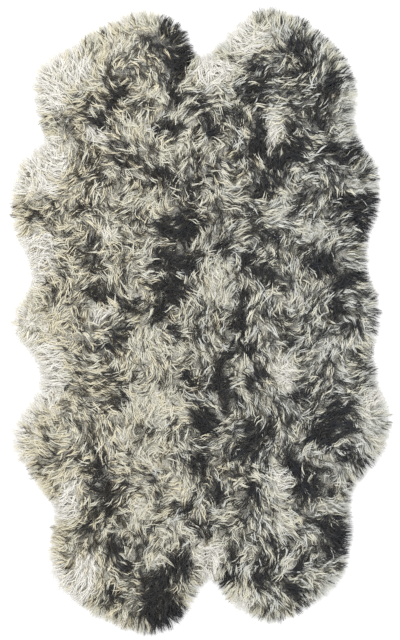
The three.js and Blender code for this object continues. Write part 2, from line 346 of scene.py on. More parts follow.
def fleece_height(x, y):
    """The height of the model's fleece at a point, or 0 beside it."""
    hit = fleece_rays.ray_cast(Vector((x, y, 1)), Vector((0, 0, -1)))[0]
    return hit.z if hit else 0.0


def blended(values, kind):
    """The mean or another kind of sum of each value in a loop and its neighbours."""
    return kind([np.roll(values, shift, axis=0) for shift in range(-EDGE_BLEND, EDGE_BLEND + 1)], axis=0)


def lock_reach(point, way):
    """How far the model's fleece goes on from a point in a direction."""
    away = fleece_flat - point
    out, aside = away @ way, away @ (-way[1], way[0])
    near = (np.abs(aside) < LOCK_PITCH) & (out < OVERHANGS[1] + RIM_HAIR)
    return out[near].max()


def dense_border(pelt):
    """The border of a pelt's dense wool: its part of the edge, and its seams."""
    before = AROUND[: AROUND.index(pelt)]
    first = sum(len(parts[name][0]) for name in before)
    last = first + len(parts[pelt][0])
    start = (edge[first - 1] + edge[first]) / 2
    end = (edge[last - 1] + edge[last % len(edge)]) / 2
    return np.concatenate([[start], edge[first:last], [end], parts[pelt][1]])


parts = {pelt: free_and_sewn(pelt) for pelt in AROUND}
outline = np.concatenate([parts[pelt][0] for pelt in AROUND])
ahead = np.roll(outline, -EDGE_BLEND, axis=0) - np.roll(outline, EDGE_BLEND, axis=0)
outward = blended(np.stack([ahead[:, 1], -ahead[:, 0]], axis=1), np.mean)
outward /= np.linalg.norm(outward, axis=1)[:, None]
longest = blended([lock_reach(point, way) for point, way in zip(outline, outward)], np.max)
reach = blended(np.clip(longest - RIM_HAIR, *OVERHANGS), np.mean)
edge = outline + outward * reach[:, None]
rim_line = edge + outward * COMB_LINE
dense = {pelt: dense_border(pelt) for pelt in PELTS}
print("the dense wool reaches", reach.min().round(3), "to", reach.max().round(3), "m past the hides")

# %% [markdown]
# The fleece isn't one colour: dark patches drift over it like clouds, and between them the cream
# shows. Ovals, listed one by one, say where the wool is darker or paler than the rest. Each gives its
# middle and its half sizes in pixels of the photograph's frame, 400 wide and 640 high, then a turn in
# degrees and how strong it is. Noise frays the edges, so no oval can be made out on the rug.

# %% Where the wool is dark and where it is pale
DARK_OVALS = (
    # across, down, half_width, half_height, turn, depth
    (168, 38, 14, 18, 0, 0.75),
    (177, 62, 12, 16, -25, 0.95),
    (147, 38, 6, 9, 0, 0.5),
    (126, 74, 11, 6, -25, 0.7),
    (112, 97, 7, 15, -35, 0.75),
    (93, 120, 11, 8, 0, 0.85),
    (84, 104, 12, 5, 0, 0.5),
    (55, 115, 10, 8, 0, 0.35),
    (120, 138, 6, 4, 0, 0.6),
    (138, 110, 10, 6, 0, 0.65),
    (178, 94, 10, 6, 0, 0.9),
    (171, 126, 14, 7, 0, 0.65),
    (208, 105, 8, 9, 0, 0.55),
    (208, 126, 10, 7, 0, 0.75),
    (121, 158, 12, 6, 0, 0.55),
    (91, 180, 10, 10, 0, 0.55),
    (161, 173, 15, 9, 10, 0.85),
    (184, 186, 8, 11, 0, 0.5),
    (42, 212, 16, 6, 0, 0.4),
    (92, 208, 12, 6, 0, 0.55),
    (293, 45, 16, 9, 12, 0.97),
    (300, 62, 14, 7, 0, 0.5),
    (266, 80, 8, 12, 0, 0.97),
    (249, 76, 8, 12, 0, 0.7),
    (260, 100, 11, 7, 0, 0.75),
    (260, 135, 9, 16, -10, 1.0),
    (279, 156, 17, 9, 0, 1.0),
    (302, 152, 12, 7, 0, 0.8),
    (335, 75, 8, 7, 0, 0.8),
    (322, 88, 13, 6, 0, 0.4),
    (324, 121, 13, 9, -25, 0.75),
    (300, 131, 12, 6, 0, 0.55),
    (345, 154, 15, 10, 0, 0.72),
    (366, 168, 8, 10, 0, 0.5),
    (264, 184, 13, 12, 0, 0.65),
    (363, 212, 11, 20, 0, 0.7),
    (340, 200, 12, 7, 0, 0.45),
    (178, 224, 24, 13, 8, 1.0),
    (177, 261, 21, 12, 0, 0.92),
    (87, 246, 9, 8, 0, 0.7),
    (105, 225, 10, 5, 0, 0.55),
    (90, 268, 14, 8, 0, 0.4),
    (170, 291, 15, 13, 0, 0.9),
    (158, 311, 8, 7, 0, 0.85),
    (100, 293, 18, 8, 0, 0.62),
    (125, 304, 10, 6, 0, 0.75),
    (170, 332, 10, 12, 0, 0.82),
    (120, 337, 7, 17, 0, 0.8),
    (102, 352, 9, 10, 0, 0.82),
    (110, 376, 9, 6, 0, 0.5),
    (76, 386, 10, 6, 0, 0.35),
    (119, 400, 9, 8, 0, 0.82),
    (247, 267, 8, 13, 12, 0.92),
    (270, 275, 13, 6, 0, 0.85),
    (226, 245, 10, 7, 0, 0.6),
    (274, 236, 12, 8, 0, 0.6),
    (321, 260, 15, 8, -12, 0.9),
    (346, 281, 15, 7, 15, 0.9),
    (341, 310, 8, 15, 0, 0.95),
    (350, 331, 14, 7, 0, 0.8),
    (240, 318, 6, 22, 0, 0.88),
    (240, 353, 19, 7, 0, 0.97),
    (222, 378, 8, 18, 0, 0.88),
    (230, 400, 10, 11, 0, 0.95),
    (202, 420, 12, 13, 0, 0.97),
    (190, 382, 8, 12, 0, 0.5),
    (258, 380, 9, 9, 0, 0.7),
    (305, 392, 9, 10, 0, 0.88),
    (345, 415, 17, 9, 0, 0.92),
    (328, 432, 17, 11, 0, 0.95),
    (349, 458, 10, 8, 0, 0.65),
    (251, 441, 12, 16, -15, 0.96),
    (242, 460, 14, 6, 0, 0.75),
    (292, 465, 8, 15, 25, 0.95),
    (311, 488, 17, 9, 0, 0.88),
    (216, 490, 8, 13, 12, 0.97),
    (199, 463, 9, 14, 0, 0.75),
    (252, 497, 10, 10, 0, 0.75),
    (98, 468, 16, 8, 0, 0.78),
    (104, 491, 16, 9, 0, 0.82),
    (102, 512, 18, 6, 0, 0.75),
    (79, 529, 12, 7, 0, 0.92),
    (116, 548, 8, 12, 0, 0.85),
    (122, 566, 12, 5, 0, 0.8),
    (180, 510, 10, 6, 0, 0.85),
    (205, 530, 8, 10, 0, 0.6),
    (330, 521, 14, 6, 0, 0.8),
    (337, 542, 13, 15, 0, 1.0),
    (277, 550, 7, 10, 0, 0.75),
    (262, 577, 12, 13, 0, 0.8),
    (302, 567, 6, 6, 0, 0.88),
    (297, 592, 14, 10, -35, 0.98),
    (231, 580, 12, 7, 0, 0.85),
    (156, 592, 18, 20, 0, 0.92),
    (163, 616, 20, 14, 0, 1.0),
    (177, 572, 13, 11, 0, 0.85),
    (112, 599, 9, 7, 0, 0.75),
    (70, 556, 5, 6, 0, 0.65),
)
PALE_OVALS = (
    # across, down, half_width, half_height, turn, depth
    (70, 66, 24, 17, 25, 0.97),
    (50, 92, 14, 22, 0, 0.95),
    (114, 46, 18, 10, 20, 0.75),
    (130, 20, 18, 10, 0, 0.6),
    (214, 72, 20, 14, 0, 1.0),
    (247, 38, 18, 20, -30, 1.0),
    (272, 20, 20, 10, 0, 0.6),
    (45, 160, 24, 20, 0, 1.0),
    (40, 188, 16, 10, 0, 0.9),
    (95, 136, 12, 7, 0, 0.95),
    (134, 126, 12, 9, 0, 0.7),
    (146, 91, 14, 7, 0, 0.55),
    (132, 200, 18, 8, 0, 0.7),
    (160, 190, 12, 5, 0, 0.6),
    (182, 148, 14, 6, 0, 0.4),
    (275, 124, 7, 18, 8, 0.98),
    (347, 112, 9, 22, 0, 0.7),
    (282, 210, 7, 16, 0, 0.8),
    (315, 231, 18, 9, -10, 0.8),
    (356, 185, 11, 6, 0, 0.6),
    (108, 236, 11, 6, 0, 0.85),
    (40, 255, 14, 24, 0, 1.0),
    (219, 282, 16, 22, 0, 0.75),
    (105, 313, 14, 5, 0, 1.0),
    (42, 322, 22, 14, 0, 0.75),
    (152, 346, 18, 20, 0, 0.65),
    (128, 368, 14, 9, 0, 0.6),
    (298, 297, 9, 16, 0, 0.75),
    (338, 346, 16, 7, 0, 0.7),
    (284, 370, 11, 20, 0, 0.95),
    (50, 375, 13, 34, 0, 1.0),
    (155, 405, 24, 18, 0, 0.72),
    (212, 398, 4, 10, 20, 0.6),
    (240, 370, 11, 8, 0, 0.6),
    (372, 418, 12, 34, 0, 0.85),
    (27, 435, 14, 20, 0, 0.6),
    (280, 483, 9, 18, 0, 1.0),
    (316, 453, 14, 5, -10, 0.7),
    (69, 500, 9, 26, 0, 1.0),
    (125, 440, 9, 8, 0, 0.75),
    (150, 458, 18, 12, 0, 0.6),
    (139, 508, 11, 16, 0, 0.75),
    (178, 486, 13, 10, 0, 0.6),
    (168, 535, 18, 6, 12, 0.75),
    (158, 558, 7, 8, 0, 0.9),
    (84, 577, 14, 20, 0, 1.0),
    (59, 575, 9, 14, 0, 0.6),
    (210, 562, 12, 24, 0, 1.0),
    (245, 570, 5, 10, 0, 0.8),
    (288, 568, 6, 9, 0, 0.9),
    (284, 526, 13, 12, 0, 0.8),
    (240, 604, 16, 9, 0, 0.75),
    (322, 588, 14, 12, 0, 0.6),
    (336, 507, 14, 5, 0, 0.65),
)
PHOTO_MIDDLE = np.array((PHOTO_WIDTH, PHOTO_HEIGHT)) / 2
PLAIN_DARKNESS = 0.55  # outside the ovals
RIGHT_IS_DARKER = 0.12  # more dark on the right half than on the left, from edge to edge
FRAY_SIZE = 0.045
FRAY_REACH = 0.012
NOISE_SEED = 7
FRAY_LEVEL, CLOUD_LEVEL, WARM_LEVEL = 3.7, 5.3, 8.9  # each reads the noise at its own level
LEAST_DARKNESS = 0.02
FADE_END = 1.65  # in half sizes of an oval
CLOUD_SIZE = 0.03
CLOUD_DEPTH = 0.3
RIM_WIDTH = 0.035
# the rim's locks are paler, partly in their own colour, partly as painted light against the shade near
# the floor
RIM_PALENESS_AND_LIGHT = 0.5
LEFT_RIM_IS_PALER = 0.3
PLAIN_WARMTH = 0.5
LEFT_IS_WARMER = 0.45
WARM_DEPTH = 0.6

noise.seed_set(NOISE_SEED)  # without a seed, noise_vector starts from the clock


def smooth(share):
    share = np.clip(share, 0, 1)
    return share * share * (3 - 2 * share)


def noisy(points, size, level, kind=noise.noise):
    """Smooth noise at each point, from about -1 to 1, as one number or as a vector."""
    return np.array([kind(Vector((x / size, y / size, level))) for x, y in points])


def cover(points, ovals):
    """How deep the points lie in the deepest oval, from 0 to 1, fading softly at its edge."""
    pixels = (points - np.array(RUG_MIDDLE[:2])) / METRES_PER_PIXEL * (1, -1) + PHOTO_MIDDLE
    deepest = np.zeros(len(points))
    for across, down, half_width, half_height, turn, depth in ovals:
        right, below = (pixels - (across, down)).T
        cosine, sine = math.cos(math.radians(turn)), math.sin(math.radians(turn))
        wide = (right * cosine - below * sine) / half_width
        high = (right * sine + below * cosine) / half_height
        deepest = np.maximum(deepest, depth * smooth(FADE_END - np.hypot(wide, high)))
    return deepest


def rim_distance(points):
    """How far each point is from the rim's line."""
    return np.array([np.linalg.norm(rim_line - point, axis=1).min() for point in points])


def at_rim(points):
    """1 at the edge of the dense wool, and 0 further in than the rim's width."""
    return smooth(1 - (rim_distance(points) - COMB_LINE) / RIM_WIDTH)


def darkness(points):
    """The share of dark locks at each point, from 0 to 1, lowered at the rim partly as painted light."""
    frayed = points + FRAY_REACH * noisy(points, FRAY_SIZE, FRAY_LEVEL, noise.noise_vector)[:, :2]
    base = PLAIN_DARKNESS + RIGHT_IS_DARKER * points[:, 0] / cad_high.x
    rim_paleness_and_light = RIM_PALENESS_AND_LIGHT - LEFT_RIM_IS_PALER * points[:, 0] / cad_high.x
    base += CLOUD_DEPTH * noisy(points, CLOUD_SIZE, CLOUD_LEVEL)
    # paler at the rim: partly the wool's own colour, partly painted light against its shade there
    base *= 1 - rim_paleness_and_light * at_rim(points)
    dark = base + (1 - base) * cover(frayed, DARK_OVALS)
    return np.clip(dark * (1 - cover(frayed, PALE_OVALS)), LEAST_DARKNESS, 1)


def warmth(points):
    """How warm the cream is at each point, from 0 to 1."""
    warm = PLAIN_WARMTH - LEFT_IS_WARMER * points[:, 0] / cad_high.x
    return np.clip(warm + WARM_DEPTH * noisy(points, CLOUD_SIZE, WARM_LEVEL), 0, 1)


print(len(DARK_OVALS), "dark and", len(PALE_OVALS), "pale places")

# %% [markdown]
# Wool is combed by use. At the free edge every lock lies outwards. Further in, the wool lies roughly
# away from the rug's middle, but patch by patch it leans one way or another, in swirls. The lie of the
# wool is a direction at each point, mixed from the two. The swirls are the slopes of smooth noise, turned
# by a quarter, as such a field has no point from which all its arrows start like the rays of a star.

# %% The lie of the wool
EDGE_COMB = 0.13  # from the free edge in to where the middle's lie has taken over
MIDDLE_LIE = 0.7  # how much the wool lies away from the middle, beside the swirls
TIDY_LIE = 0.75  # where the lie is weaker than this, locks start to turn every way
EDGE_PULL = 4  # how much more a near edge counts than a far one
SWIRLS = ((0.16, 1.8, 9.1), (0.06, 0.9, 4.4))  # size, strength and level
SLOPE_STEP = 0.1
NEAREST_EDGE = 0.002  # no edge counts as nearer than this


def swirl(point, size, level):
    """The quarter-turned slope of smooth noise at a point."""
    x, y = point / size
    right, left = (noise.noise(Vector((x + step, y, level))) for step in (SLOPE_STEP, -SLOPE_STEP))
    above, below = (noise.noise(Vector((x, y + step, level))) for step in (SLOPE_STEP, -SLOPE_STEP))
    return np.array((above - below, left - right)) / (2 * SLOPE_STEP)


def combed(points):
    """The direction in which the wool lies at each point, and how much of a mess it is, up to 1."""
    lies = []
    for point in points:
        away = rim_line - point
        far = np.maximum(np.linalg.norm(away, axis=1), NEAREST_EDGE)
        out = (away / far[:, None] ** (EDGE_PULL + 1)).sum(axis=0)
        from_middle = point / np.array(cad_high[:2]) ** 2
        share = smooth(far.min() / EDGE_COMB)
        lie = out / np.linalg.norm(out) * (1 - share)
        lie += MIDDLE_LIE * share * from_middle / max(np.linalg.norm(from_middle), 1.0)
        for size, strength, level in SWIRLS:
            lie += strength * share * swirl(point, size, level)
        lies.append((*lie, 0.0))
    strength = np.linalg.norm(lies, axis=1)
    return np.array(lies) / strength[:, None], smooth(1 - strength / TIDY_LIE)


print("the wool's lie mixes the rim, the middle and", len(SWIRLS), "sizes of swirl")

# %% [markdown]
# Under the locks lies the short dense wool that you feel when you press the rug. It is a closed pad on
# the hide. Its top follows the top of the fleece in the model, one lock's depth lower, so the locks
# that grow from it end where the solid ends. A triangulation of the outline, with a grid of points
# inside it, gives even faces on an outline that no patch of quads would fit.

# %% Under-wool pads
PAD_STEP = 0.011
PAD_BOTTOM = 0.0026  # just above the hide
PAD_DEPTH = 0.021  # how far its top lies under the top of the fleece
PAD_EDGE = 0.004  # how high its top is at its border
PAD_SLOPE = 0.7  # how steeply the top rises from there
TUFT_SIZE = 0.022
TUFT_HEIGHT = 0.003
GRID_GAP = 0.6  # between the border and the grid inside it, in steps
INSIDE_FACES = 1  # the kind of triangulation that fills only the outline
SAME_POINT = 1e-7  # points closer than this are one


def inside_grid(loop):
    """Points of a triangle grid that lie inside a loop, clear of its border."""
    low, high = loop.min(axis=0), loop.max(axis=0)
    points = []
    for row, y in enumerate(np.arange(low[1], high[1], PAD_STEP * math.sqrt(3) / 2)):
        start = low[0] + PAD_STEP / 2 * (row % 2)
        points.extend((x, y) for x in np.arange(start, high[0], PAD_STEP))
    points = np.array(points)
    inside = np.zeros(len(points), bool)
    for start, end in zip(loop, np.roll(loop, -1, axis=0)):
        spans = (start[1] > points[:, 1]) != (end[1] > points[:, 1])
        share = (points[spans, 1] - start[1]) / (end[1] - start[1])
        inside[spans] ^= points[spans, 0] < start[0] + share * (end[0] - start[0])
    points = points[inside]
    gaps = np.array([np.linalg.norm(loop - point, axis=1).min() for point in points])
    return points[gaps > PAD_STEP * GRID_GAP]


def add_attribute(mesh, name, values):
    """Stores one number or one vector for each point of a mesh."""
    kind, field = ("FLOAT_VECTOR", "vector") if np.ndim(values) == 2 else ("FLOAT", "value")
    stored = mesh.attributes.get(name) or mesh.attributes.new(name, kind, "POINT")
    stored.data.foreach_set(field, np.ravel(values))


def pad_surface(pelt):
    """The pad's border, the points of its top and the top's triangles."""
    loop = dense[pelt]
    points = np.concatenate([loop, inside_grid(loop)])
    edges = [(i, (i + 1) % len(loop)) for i in range(len(loop))]
    found, _, faces, *_ = geometry.delaunay_2d_cdt(
        [Vector(point) for point in points], edges, [list(range(len(loop)))], INSIDE_FACES, SAME_POINT
    )
    flat = np.array([point[:] for point in found])
    top = np.array([fleece_height(x, y) for x, y in flat]) - PAD_DEPTH
    top += noisy(flat, TUFT_SIZE, 0) * TUFT_HEIGHT
    shoulder = PAD_EDGE + PAD_SLOPE * np.maximum(rim_distance(flat) - COMB_LINE, 0)
    top = np.maximum(np.minimum(top, shoulder), PAD_EDGE)
    return edges, np.column_stack([flat, top]), [tuple(face) for face in faces]


def pad(pelt, edges, top, faces):
    """The closed pad under a top."""
    total = len(top)
    bottom = top.copy()
    bottom[:, 2] = PAD_BOTTOM
    walls = [(i + total, j + total, j, i) for i, j in edges]
    under = [tuple(i + total for i in reversed(face)) for face in faces]
    mesh = bpy.data.meshes.new("underwool_" + pelt)
    mesh.from_pydata(np.concatenate([top, bottom]).tolist(), [], faces + under + walls)
    mesh.polygons.foreach_set("use_smooth", [True] * len(mesh.polygons))
    add_attribute(mesh, "dark", np.tile(darkness(top[:, :2]), 2))
    add_attribute(mesh, "comb", np.tile(combed(top[:, :2])[0], (2, 1)))
    return link("underwool_" + pelt, mesh)


surfaces = {pelt: pad_surface(pelt) for pelt in PELTS}
pads = {pelt: pad(pelt, *surfaces[pelt]) for pelt in PELTS}
print({pelt: len(pads[pelt].data.polygons) for pelt in PELTS})

# %% [markdown]
# A fleece is thousands of strands of many fibres each, which gather into pointed, wavy locks. Hair
# curves would be lost in the export, so every strand is a three-sided cone, pressed flat like a blade
# of grass and bent in Geometry Nodes. Points are scattered over the pad. Each looks for the nearest of
# a sparser set of points, the locks, and takes its lie, curl and colour from there. One formula then
# bends the cones, and their UV map lets the material draw the fibres along them.

# %% The tree that grows strands
STRAND_SIDES = 3
WOOL_CEILING = cad_high.z + 0.009  # no strand rises above this
FLOOR_CLEARANCE = 0.0004
SOFT_ROOM, SOFT_CEILING, SOFT_FLOOR = 0.01, 0.012, 0.006  # how softly each limit sets in
TIP_REACH = 0.65  # how far from its root a strand shows, as a share of its length
RINGS_UPWARD = 0.75  # below 1, more of a strand's rings are near its tip, where they show
MOST_LOCKS = 40000.0  # on a square metre
LOCK_SEED = 50  # on top of the strands' seed
RIM_CALM = 0.75  # how much less the locks turn at the rim
RIM_SLEEK = 0.7  # how much less they wave there
RIM_LEAN, RIM_BEND = 0.2, 0.35  # how much more they lean and bend there, in radians
MESS_TURN, MESS_LEAN = 2.4, -0.3  # how much more they turn and lean where the lie is a mess
WAVE_ONSET = 3  # a strand waves in full from one part in so many of its length
NOD = 0.5  # how far it waves forward, as a share of how far it waves sideways
TONES = 3  # of cream, side by side in the wool's palette
FIBRE_SPAN = 0.004  # how much of the palette one strand shows across its width
MIDDLE_SHADE = 0.5
CHOICE = 7  # how sharply the locks part into dark and pale ones
PARTING = 0.28  # how far from the middle shade those are
ALL_DARK, DARKENING = (0.6, 0.95), 0.22  # between these shares of dark locks, all get darker
# below this share of dark locks all turn whiter, partly as painted light that brightens the shaded rim
ALL_PALE_AND_LIT, PALE_FADE, PALING_AND_LIGHTING = 0.14, 0.1, 0.2  # below this share of dark locks, all get paler
SHADES = (0.02, 0.98)  # clear of the ends of a tone, where the next one starts
VARIETY = {  # whether it varies by lock or by strand, between what, and the seed
    "lock_length": ("lock", 0.78, 1.15, 1),
    "length": ("strand", 0.85, 1.15, 2),
    "lock_lean": ("lock", 0.6, 0.95, 3),
    "lean": ("strand", -0.1, 0.1, 4),
    "bend": ("lock", 0.65, 1.05, 5),
    "lock_turn": ("lock", -1.0, 1.0, 6),
    "turn": ("strand", -0.16, 0.16, 7),
    "waves": ("lock", 0.5, 1.05, 8),
    "lock_phase": ("lock", 0.0, math.tau, 9),
    "phase": ("strand", -0.5, 0.5, 10),
    "curl": ("lock", 0.5, 1.4, 11),
    "width": ("strand", 0.7, 1.3, 12),
    "lock_chance": ("lock", -0.06, 0.95, 13),
    "chance": ("strand", 0.0, 0.08, 14),
    "tone": ("lock", 0.0, 0.999, 15),
    "room": ("strand", 0.8, 1.2, 17),
}
FACTS = {  # what a strand knows, and of what kind each fact is
    "strand": "INT",
    "lock": "INT",
    "root": "FLOAT_VECTOR",
    "lock_root": "FLOAT_VECTOR",
    "comb": "FLOAT_VECTOR",
    **dict.fromkeys(("mess", "room", "dark", "warm", "rim", "growth"), "FLOAT"),
}
STRAND_INPUTS = {
    "Density": ("Float", 19500.0),  # strands on a square metre
    "Lock Spacing": ("Float", 0.0085),
    "Length": ("Float", 0.047),
    "Width": ("Float", 0.0017),  # from the middle to a corner of the flat side, at the root
    "Thickness": ("Float", 0.0014),
    "Curl": ("Float", 0.0045),  # how far a strand waves to each side
    "Gather": ("Float", 0.7),  # how far the tips of a lock come together
    "Spread": ("Float", 0.65),  # how far the locks turn off the lie of the wool, in radians
    "Overhang": ("Float", 0.006),  # how far a strand may reach past the edge of the fleece
    "Segments": ("Int", 4),
    "Seed": ("Int", 1),
    "Wool": ("Material", None),
}


def new_tree(name, inputs):
    """An empty Geometry Nodes tree with named inputs, and the wires that come from them."""
    tree = bpy.data.node_groups.new(name, "GeometryNodeTree")
    tree.interface.new_socket("Geometry", in_out="OUTPUT", socket_type="NodeSocketGeometry")
    tree.interface.new_socket("Geometry", in_out="INPUT", socket_type="NodeSocketGeometry")
    for label, (kind, default) in inputs.items():
        made = tree.interface.new_socket(label, in_out="INPUT", socket_type="NodeSocket" + kind)
        if default is not None:
            made.default_value = default
    graph = Graph(tree)
    entry = tree.nodes.new("NodeGroupInput")
    return graph, {socket.name: Wire(graph, socket) for socket in entry.outputs if socket.name}


def finish_tree(graph, shape, material):
    """Realizes and smooths a shape, sets its material and connects it to the output."""
    shape = graph.node("GeometryNodeRealizeInstances", values={"Geometry": shape})
    shape = graph.node("GeometryNodeSetShadeSmooth", values={"Geometry": shape})
    done = graph.node("GeometryNodeSetMaterial", values={"Geometry": shape, "Material": material})
    leave = graph.tree.nodes.new("NodeGroupOutput")
    graph.tree.links.new(done.socket, leave.inputs[0])


def keep(graph, shape, name, value, kind=None, domain="POINT"):
    """Stores a value under a name on every point or corner of a shape."""
    return graph.node(
        "GeometryNodeStoreNamedAttribute",
        {"data_type": kind or FACTS[name], "domain": domain},
        {"Geometry": shape, "Name": name, "Value": value},
    )


def kept(graph, name):
    return graph.node("GeometryNodeInputNamedAttribute", {"data_type": FACTS[name]}, {"Name": name})


def parts_of(graph, vector):
    return [graph.node("ShaderNodeSeparateXYZ", values={"Vector": vector}, out=i) for i in range(3)]


def vector_of(graph, x=0.0, y=0.0, z=0.0):
    return graph.node("ShaderNodeCombineXYZ", values={"X": x, "Y": y, "Z": z})


def varied(graph, what):
    """A random number that is the same all over one strand or one lock."""
    name, low, high, seed = VARIETY[what]
    return graph.node(
        "FunctionNodeRandomValue",
        {"data_type": "FLOAT"},
        {"Min": low, "Max": high, "ID": kept(graph, name), "Seed": seed},
    )


def turned(graph, vector, angle):
    """A vector, turned about the upright axis."""
    return graph.node(
        "ShaderNodeVectorRotate", {"rotation_type": "Z_AXIS"}, {"Vector": vector, "Angle": angle}
    )


def scattered(graph, wires):
    """Points on the pad that know their root, their lock, its lie and the colour at its tip."""
    place = graph.node("GeometryNodeInputPosition")
    locks = graph.node(
        "GeometryNodeDistributePointsOnFaces",
        {"distribute_method": "POISSON"},
        {
            "Mesh": wires["Geometry"],
            "Distance Min": wires["Lock Spacing"],
            "Density Max": MOST_LOCKS,
            "Seed": wires["Seed"] + LOCK_SEED,
        },
    )
    roots = graph.node(
        "GeometryNodeDistributePointsOnFaces",
        values={
            "Mesh": wires["Geometry"],
            "Density": wires["Density"] * kept(graph, "growth"),
            "Seed": wires["Seed"],
        },
    )

    def at_lock(value):
        return graph.node(
            "GeometryNodeSampleIndex",
            {"data_type": "FLOAT_VECTOR"},
            {"Geometry": locks, "Value": value, "Index": kept(graph, "lock")},
        )

    def at_tip(name):
        reach = wires["Length"] * TIP_REACH
        tip = kept(graph, "lock_root") + kept(graph, "comb") * reach
        return graph.node(
            "GeometryNodeSampleNearestSurface",
            {"data_type": "FLOAT"},
            {"Mesh": wires["Geometry"], "Value": kept(graph, name), "Sample Position": tip},
        )

    spread = wires["Spread"] * (1 - kept(graph, "rim") * RIM_CALM) + kept(graph, "mess") * MESS_TURN
    facts = {
        "lock": graph.node("GeometryNodeSampleNearest", values={"Geometry": locks}),
        "strand": graph.node("GeometryNodeInputIndex"),
        "root": place,
        "lock_root": at_lock(place),
        "comb": turned(graph, at_lock(kept(graph, "comb")), varied(graph, "lock_turn") * spread),
        "dark": at_tip("dark"),
        "warm": at_tip("warm"),
    }
    for name, fact in facts.items():
        roots = keep(graph, roots, name, fact)
    return roots


def strand_tree():
    graph, wires = new_tree("strands", STRAND_INPUTS)
    cone = graph.node(
        "GeometryNodeMeshCone",
        {"fill_type": "NGON"},
        {
            "Vertices": STRAND_SIDES,
            "Side Segments": wires["Segments"],
            "Radius Top": 0.0,
            "Radius Bottom": 1.0,
            "Depth": 1.0,
        },
    )
    strands = graph.node(
        "GeometryNodeInstanceOnPoints", values={"Points": scattered(graph, wires), "Instance": cone}
    )
    strands = graph.node("GeometryNodeRealizeInstances", values={"Geometry": strands})

    by = partial(varied, graph)
    sine, cosine = partial(graph.maths, "SINE"), partial(graph.maths, "COSINE")
    root = kept(graph, "root")
    rim = kept(graph, "rim")
    keel, side, ring = parts_of(graph, graph.node("GeometryNodeInputPosition") - root)
    share = ring**RINGS_UPWARD

    room = (kept(graph, "room") + wires["Overhang"]) * by("room")
    length = wires["Length"] * by("lock_length") * by("length")
    length = graph.maths("SMOOTH_MIN", length, room, SOFT_ROOM)
    lean = by("lock_lean") + by("lean") + rim * RIM_LEAN + kept(graph, "mess") * MESS_LEAN
    bend = by("bend") + rim * RIM_BEND
    comb = turned(graph, kept(graph, "comb"), by("turn"))
    comb_x, comb_y, _ = parts_of(graph, comb)
    across = vector_of(graph, comb_y, -comb_x)
    angle = lean + bend * share
    ahead = length * (cosine(lean) - cosine(angle)) / bend
    rise = length * (sine(angle) - sine(lean)) / bend

    wave = by("waves") * share * math.tau + by("lock_phase") + by("phase")
    waving = wires["Curl"] * by("curl") * graph.maths("MINIMUM", share * WAVE_ONSET, 1.0)
    waving = waving * (1 - rim * RIM_SLEEK)
    sideways = waving * sine(wave)
    forward = waving * cosine(wave) * NOD

    swelling = by("width") * (1 + ring)
    width = wires["Width"] * swelling
    thickness = wires["Thickness"] * swelling
    toward = (kept(graph, "lock_root") - root) * (graph.ease(share) * wires["Gather"])
    middle = root + comb * (ahead + forward) + across * sideways + vector_of(graph, z=rise) + toward
    x, y, z = parts_of(graph, middle)
    z = graph.maths("SMOOTH_MIN", z, WOOL_CEILING, SOFT_CEILING)
    lowest = thickness * (1 - ring) + FLOOR_CLEARANCE
    above_floor = graph.maths("SMOOTH_MAX", z, lowest, SOFT_FLOOR)
    over = comb * cosine(angle) - vector_of(graph, z=sine(angle))
    surface = vector_of(graph, x, y, above_floor) + across * side * width + over * keel * thickness

    dark = kept(graph, "dark")
    chance = by("lock_chance") + by("chance")
    chosen = graph.node("ShaderNodeClamp", values={"Value": (dark - chance) * CHOICE, "Min": -1.0})
    shade = MIDDLE_SHADE + chosen * PARTING + graph.ease(dark, *ALL_DARK) * DARKENING
    # the palest places, mostly at the rim, turn whiter: partly their own colour, partly painted light
    shade = shade - graph.ease(ALL_PALE_AND_LIT - dark, 0.0, PALE_FADE) * PALING_AND_LIGHTING
    shade = graph.node("ShaderNodeClamp", values={"Value": shade, "Min": SHADES[0], "Max": SHADES[1]})
    tone = kept(graph, "warm") * (TONES - 1) + by("tone")
    column = (graph.maths("FLOOR", tone) + shade) / TONES + side * FIBRE_SPAN
    strands = keep(graph, strands, "OFBake", vector_of(graph, column, share), "FLOAT2", "CORNER")
    strands = graph.node("GeometryNodeSetPosition", values={"Geometry": strands, "Position": surface})
    finish_tree(graph, strands, wires["Wool"])
    return graph.tree


strands = strand_tree()
print("the strand tree has", len(strands.nodes), "nodes")

# %% [markdown]
# The wool keeps its colours in a palette. Each strand's UV map points at one column of it, and runs up
# that column from root to tip. There are three tones of cream side by side, from cool to warm. Within
# each, the columns run from all cream, over cream with a brown-grey tip, to nearly all blue-black.

# %% The wool's colours
CREAMS = ((0.0, (0.71, 0.72, 0.67)), (1 / 3, (0.79, 0.77, 0.64)), (2 / 3, (0.83, 0.77, 0.58)))
# the whitest wool: partly its own colour, partly painted light against the shade at the rim
WHITEST_AND_LIT = (0.92, 0.90, 0.84)
TIP_TINTS = ((0.0, (0.85, 0.95, 1.15)), (1 / 3, (1.05, 1.0, 0.9)), (2 / 3, (1.4, 1.15, 0.8)))
TIPS = (
    (0.0, WHITEST_AND_LIT),
    (0.3, (0.74, 0.72, 0.65)),
    (0.5, (0.22, 0.20, 0.17)),
    (0.62, (0.046, 0.043, 0.034)),
    (0.8, (0.022, 0.021, 0.020)),
    (1.0, (0.012, 0.013, 0.016)),
)
# Where along a strand the dark starts, for each shade
DARK_FROM = ((0.0, 0.9), (0.4, 0.8), (0.55, 0.45), (0.78, 0.18), (1.0, -0.3))
FIBRES = 700.0  # noise along the whole palette, so that a strand shows a few of them
RAGGED = 0.35  # how unevenly high the fibres of a strand turn dark
TURN_LENGTH = 0.25  # how much of a strand's length the change takes
